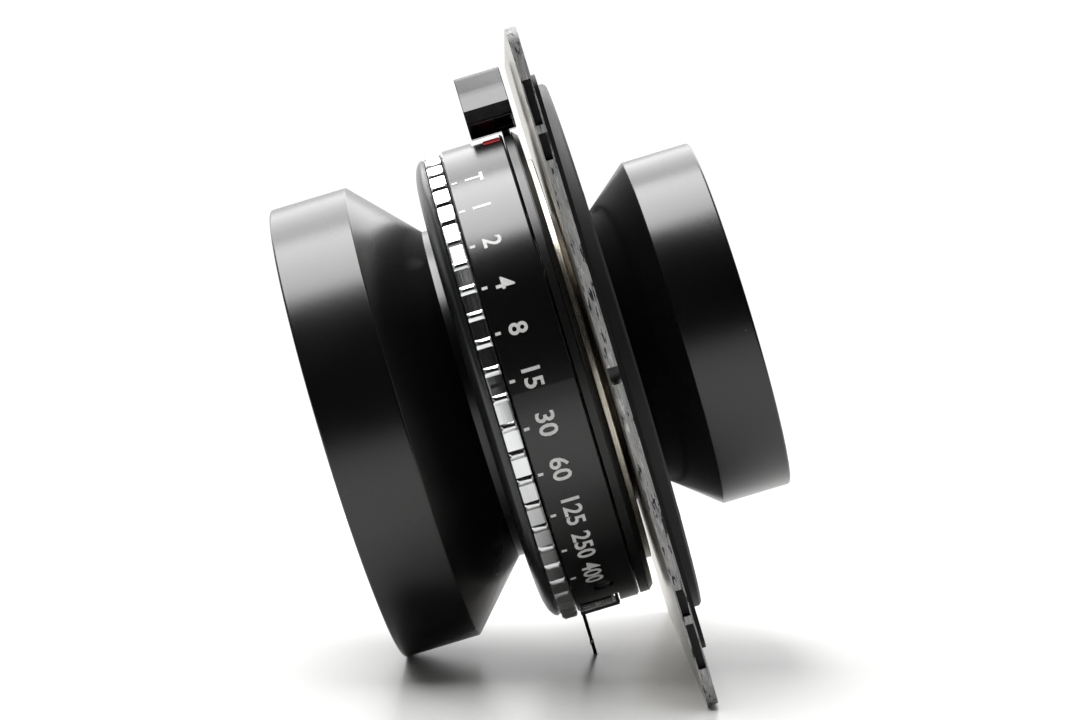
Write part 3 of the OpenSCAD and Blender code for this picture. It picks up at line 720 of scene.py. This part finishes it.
def cocking_thumb():
    """Roof-shaped block with soft edges; its two broad faces are slightly dished."""
    low, high = local_box("cocking_thumb")
    top_x, crease, widest_y, bottom_x = 0.8, (5.3, 40.5), 38.3, 3.4
    dish = (2.75, 42.95, 6.0)
    side = [(top_x, high.y, 1.0), dish, (*crease, 0.12), (high.x, widest_y, 0.4),
            (bottom_x, low.y, 0.6)]
    corners = side + [(-c[0], c[1], c[2]) for c in reversed(side)]
    thumb = prism("cocking_thumb_grip", corners, low.z, high.z)
    soften(thumb, 0.3, 3, 60)
    finish_piece(thumb, "cocking_control", THUMB, ["cocking_thumb"], 30)


PRINT_LIFT = 0.005
PRINT_ROOT = 0.01
PRINT_THICK = 0.04


def bent_text(string, height, angle, radius, z, bold=0.0):
    """Points and faces of numerals wrapped round the case, reading down the near side."""
    size_per_height = 1.37
    relief = 0.025
    curve = bpy.data.curves.new("numeral", "FONT")
    curve.body = string
    curve.size = height * size_per_height
    curve.align_x = "CENTER"
    curve.align_y = "CENTER"
    curve.resolution_u = 3
    curve.offset = bold
    curve.extrude = relief
    obj = bpy.data.objects.new("numeral", curve)
    bpy.context.scene.collection.objects.link(obj)
    bpy.context.view_layer.update()
    graph = bpy.context.evaluated_depsgraph_get()
    mesh = bpy.data.meshes.new_from_object(obj.evaluated_get(graph))
    points = []
    for v in mesh.vertices:
        a = math.radians(angle) - v.co.x / radius
        points += at_angle(a, [(radius + v.co.z, z - v.co.y)])
    faces = [tuple(p.vertices) for p in mesh.polygons]
    bpy.data.objects.remove(obj)
    bpy.data.meshes.remove(mesh)
    return points, faces


def arc_patch(radius, thick, z0, z1, a0, a1, steps=6):
    """Points and faces of a thin curved patch lying on a cylinder round the axis."""
    points = []
    for k in range(steps + 1):
        a = math.radians(a0 + (a1 - a0) * k / steps)
        outer = radius + thick
        points += at_angle(a, [(radius, z0), (outer, z0), (outer, z1), (radius, z1)])
    faces = [(3, 2, 1, 0), tuple(4 * steps + i for i in range(4))]
    for k in range(steps):
        for i in range(4):
            j = (i + 1) % 4
            faces.append((4 * k + i, 4 * k + j, 4 * k + 4 + j, 4 * k + 4 + i))
    return points, faces


def joined(name, parts):
    """One mesh object from several lists of points and faces."""
    points, faces = [], []
    for part_points, part_faces in parts:
        base = len(points)
        points += part_points
        faces += [tuple(i + base for i in face) for face in part_faces]
    return add_mesh(name, points, faces)


def speed_numerals():
    """Exposure times printed round the case, one for each position of the speed ring."""
    times = ["T", "1", "2", "4", "8", "15", "30", "60", "125", "250", "400"]
    step = 11
    first = 58
    height, bold, middle_z = 2.7, 0.07, 9.95
    tick_low, tick_high, half_tick = 12.3, 13.1, 0.35
    radius = local_box("shutter_case")[1].x
    parts = []
    for k, time in enumerate(times):
        angle = first - step * k
        parts.append(bent_text(time, height, angle, radius + PRINT_LIFT, middle_z, bold))
        parts.append(arc_patch(radius - PRINT_ROOT, PRINT_THICK, tick_low, tick_high,
                               angle - half_tick, angle + half_tick))
    numerals = joined("speed_numerals", parts)
    finish_piece(numerals, "shutter_body", WHITE)


def speed_index():
    """Black mark on the speed ring, which points at the exposure time that is set."""
    facet_depth = 0.43
    thick = 0.05
    low_z, high_z = 14.1, 15.75
    from_angle, to_angle = 2.8, 3.6
    radius = local_box("speed_ring")[1].x - facet_depth
    patch = arc_patch(radius, thick, low_z, high_z, from_angle, to_angle)
    mark = joined("speed_index", [patch])
    finish_piece(mark, "speed_dial", BLACK)


def aperture_numerals():
    """Stops printed on the curved scale, from the widest to the smallest."""
    stops = ["5.6", "8", "11", "16", "22", "32", "45", "64"]
    radius = -local_box("aperture_scale")[0].y
    centre = -92
    reach = 20
    height, bold, middle_z = 1.3, 0.01, 10.2
    tick_low, tick_high, half_tick = 11.6, 12.7, 0.2
    parts = []
    for k, stop in enumerate(stops):
        angle = centre + reach - 2 * reach * k / (len(stops) - 1)
        parts.append(bent_text(stop, height, angle, radius + PRINT_LIFT, middle_z, bold))
        parts.append(arc_patch(radius - PRINT_ROOT, PRINT_THICK, tick_low, tick_high,
                               angle - half_tick, angle + half_tick, 2))
    numerals = joined("aperture_numerals", parts)
    finish_piece(numerals, "shutter_body", WHITE)


def pointer_band():
    """Bright band near the tip of the aperture lever."""
    tip = -local_box("aperture_lever")[0].y
    half_w, half_d, corner = 1.75, 0.3, 0.1
    low_z, high_z = 12.74, 13.36
    from_tip = 2.4
    lever_angle = -2
    outline = [(-half_w, -half_d, corner), (half_w, -half_d, corner), (half_w, half_d, corner),
               (-half_w, half_d, corner)]
    band = prism("aperture_pointer_band", outline, low_z, high_z)
    turn(band, lever_angle, (0, -(tip - from_tip), 0))
    finish_piece(band, "aperture_control", CHROME)


# ------------------------------------------------------------------------- the board

def lens_board():
    """The board with its hole, the centre notch, the recess behind and the edge pockets."""
    low, high = local_box("lens_board")
    corner = 4.5
    middle = (low.y + high.y) / 2
    outline = [(low.x, low.y, corner), (high.x, low.y, corner), (high.x, high.y, corner),
               (low.x, high.y, corner)]
    board = prism("lens_board_plate", outline, low.z, high.z)
    hole_r = 20.9
    cutters = [rod("hole", hole_r, low.z - 1, high.z + 1, 128)]
    notch_y = middle - 0.9
    notch_r = 1.25
    cutters.append(turn(rod("notch", notch_r, low.z - 1, high.z + 1), 0, (high.x, notch_y, 0)))
    recess_side = 83.2
    recess = 0.1
    half = recess_side / 2
    square = [(-half, middle - half), (half, middle - half), (half, middle + half),
              (-half, middle + half)]
    cutters.append(prism("recess", square, low.z - 1, low.z + recess))
    skin = 0.22
    depth = 1.3
    for side in (-1, 1):
        for near, far in ((34.7, 41.0), (29.9, 33.6)):
            y0 = notch_y + side * near
            y1 = notch_y + side * far
            corners = [(high.x - depth, y0), (high.x + 1, y0), (high.x + 1, y1),
                       (high.x - depth, y1)]
            cutters.append(prism("pocket", corners, low.z + skin, high.z - skin))
    cut(board, cutters)
    soften(board, 0.09, 2, 40)
    finish_piece(board, "shutter_body", BOARD, ["lens_board"], 40)


def clothe_cad_nodes():
    """Better materials for the CAD nodes that keep their own shape."""
    wear = {
        "light_trap_plate": TRAP, "light_trap_disc": TRAP, "trap_rivets": SCREW,
        "retaining_ring": TUBE, "mounting_flange": FLANGE, "shutter_collar": COLLAR,
        "shutter_tube": TUBE, "rear_cover": CASE, "shutter_case": CASE, "main_plate": INNER_METAL,
        "blade_separator": INNER_METAL, "iris_base": INNER_METAL, "front_plate_screws": SCREW,
        "cable_socket": CHROME, "sync_terminal": CHROME, "sync_contact": BRASS,
        "side_screw": SCREW, "index_mark": RED, "aperture_scale": SCALE, "shutter_pins": SCREW,
        "iris_pins": SCREW, "speed_cam": INNER_METAL, "aperture_lever": LEVER, "iris_ring": BRASS,
        "cocking_ring": LEVER, "release_lever": LEVER, "focus_lever": LEVER, "focus_ring": BRASS,
        "front_spacer": INNER_BLACK, "rear_spacer": INNER_BLACK,
    }
    for i in range(1, 8):
        wear[f"iris_blade_{i}"] = BLADE
    for i in range(1, 6):
        wear[f"shutter_blade_{i}"] = BLADE
    for node, material in wear.items():
        for slot in frame["nodes"][node].material_slots:
            slot.material = material


# --------------------------------------------------------------- stage, light, camera

def stage_floor():
    """A pale table top that fades out with distance, so that no horizon shows."""
    radius = 1.4
    fade_from, fade_to = 0.22, 0.95
    bpy.ops.mesh.primitive_circle_add(vertices=128, radius=radius, fill_type="NGON")
    floor = bpy.context.object
    floor.name = "floor"
    m = Finish("table_top")
    m.shader.inputs["Base Color"].default_value = (0.80, 0.80, 0.79, 1)
    m.shader.inputs["Roughness"].default_value = 0.26
    x, y = m.split(m.coords.outputs["Object"])[:2]
    away = m.distance(x, y)
    clear = m.add("ShaderNodeBsdfTransparent")
    fade = m.add("ShaderNodeMixShader")
    m.feed(fade.inputs[0], m.span(away, fade_from, fade_to, 0.0, 1.0))
    m.feed(fade.inputs[1], m.shader.outputs[0])
    m.feed(fade.inputs[2], clear.outputs[0])
    m.feed(m.tree.nodes["Material Output"].inputs["Surface"], fade.outputs[0])
    floor.data.materials.append(m.material)


def world_light():
    """White to the eye; it lights the object brightly from the -x side and dimly from +x."""
    seen_strength = 1.05
    glow_range = (-0.9, 0.3, 1.1, 0.005)
    world = bpy.data.worlds.new("studio")
    world.use_nodes = True
    bpy.context.scene.world = world
    tree = world.node_tree
    background = tree.nodes["Background"]
    background.inputs["Color"].default_value = (1, 1, 1, 1)
    coords = tree.nodes.new("ShaderNodeTexCoord")
    split = tree.nodes.new("ShaderNodeSeparateXYZ")
    tree.links.new(coords.outputs["Generated"], split.inputs[0])
    glow = tree.nodes.new("ShaderNodeMapRange")
    glow.interpolation_type = "SMOOTHSTEP"
    tree.links.new(split.outputs[0], glow.inputs["Value"])
    for socket, value in zip(("From Min", "From Max", "To Min", "To Max"), glow_range):
        glow.inputs[socket].default_value = value
    path = tree.nodes.new("ShaderNodeLightPath")
    pick = tree.nodes.new("ShaderNodeMix")
    tree.links.new(path.outputs["Is Camera Ray"], pick.inputs[0])
    tree.links.new(glow.outputs[0], pick.inputs[2])
    pick.inputs[3].default_value = seen_strength
    tree.links.new(pick.outputs[0], background.inputs["Strength"])


def area_light(name, place, aim, size_x, size_y, power):
    """A soft rectangular light; lengths in metres, power in watts."""
    data = bpy.data.lights.new(name, "AREA")
    data.shape = "RECTANGLE"
    data.size = size_x
    data.size_y = size_y
    data.energy = power
    light = bpy.data.objects.new(name, data)
    bpy.context.scene.collection.objects.link(light)
    light.location = place
    light.rotation_mode = "QUATERNION"
    light.rotation_quaternion = (Vector(aim) - Vector(place)).to_track_quat("-Z", "X")


def camera():
    """The photograph's view: 0.42 m away, at the height of the lens's upper half."""
    place = Vector((0.42096, -0.00373, 0.06475))
    aim = Vector((0.0, 0.00141, 0.04456))
    roll = 0.34
    data = bpy.data.cameras.new("camera")
    data.lens = 93.36
    data.sensor_width = 36
    data.clip_start = 0.01
    cam = bpy.data.objects.new("camera", data)
    bpy.context.scene.collection.objects.link(cam)
    cam.rotation_mode = "QUATERNION"
    look = (aim - place).to_track_quat("-Z", "Y")
    cam.rotation_quaternion = look @ Matrix.Rotation(math.radians(roll), 3, "Z").to_quaternion()
    cam.location = place
    bpy.context.scene.camera = cam


front_barrel()
rear_barrel()
name_rings()
glasses()
front_plate()
speed_ring()
cocking_thumb()
speed_numerals()
speed_index()
aperture_numerals()
pointer_band()
lens_board()
clothe_cad_nodes()

stage_floor()
world_light()
area_light("overhead", (-0.03, -0.18, 0.72), (-0.03, -0.17, 0.0), 0.44, 0.55, 6.6)
area_light("behind", (-0.62, -0.10, 0.62), (0.0, -0.02, 0.06), 0.55, 1.0, 4.5)
camera()
bpy.context.scene.view_settings.view_transform = "Standard"
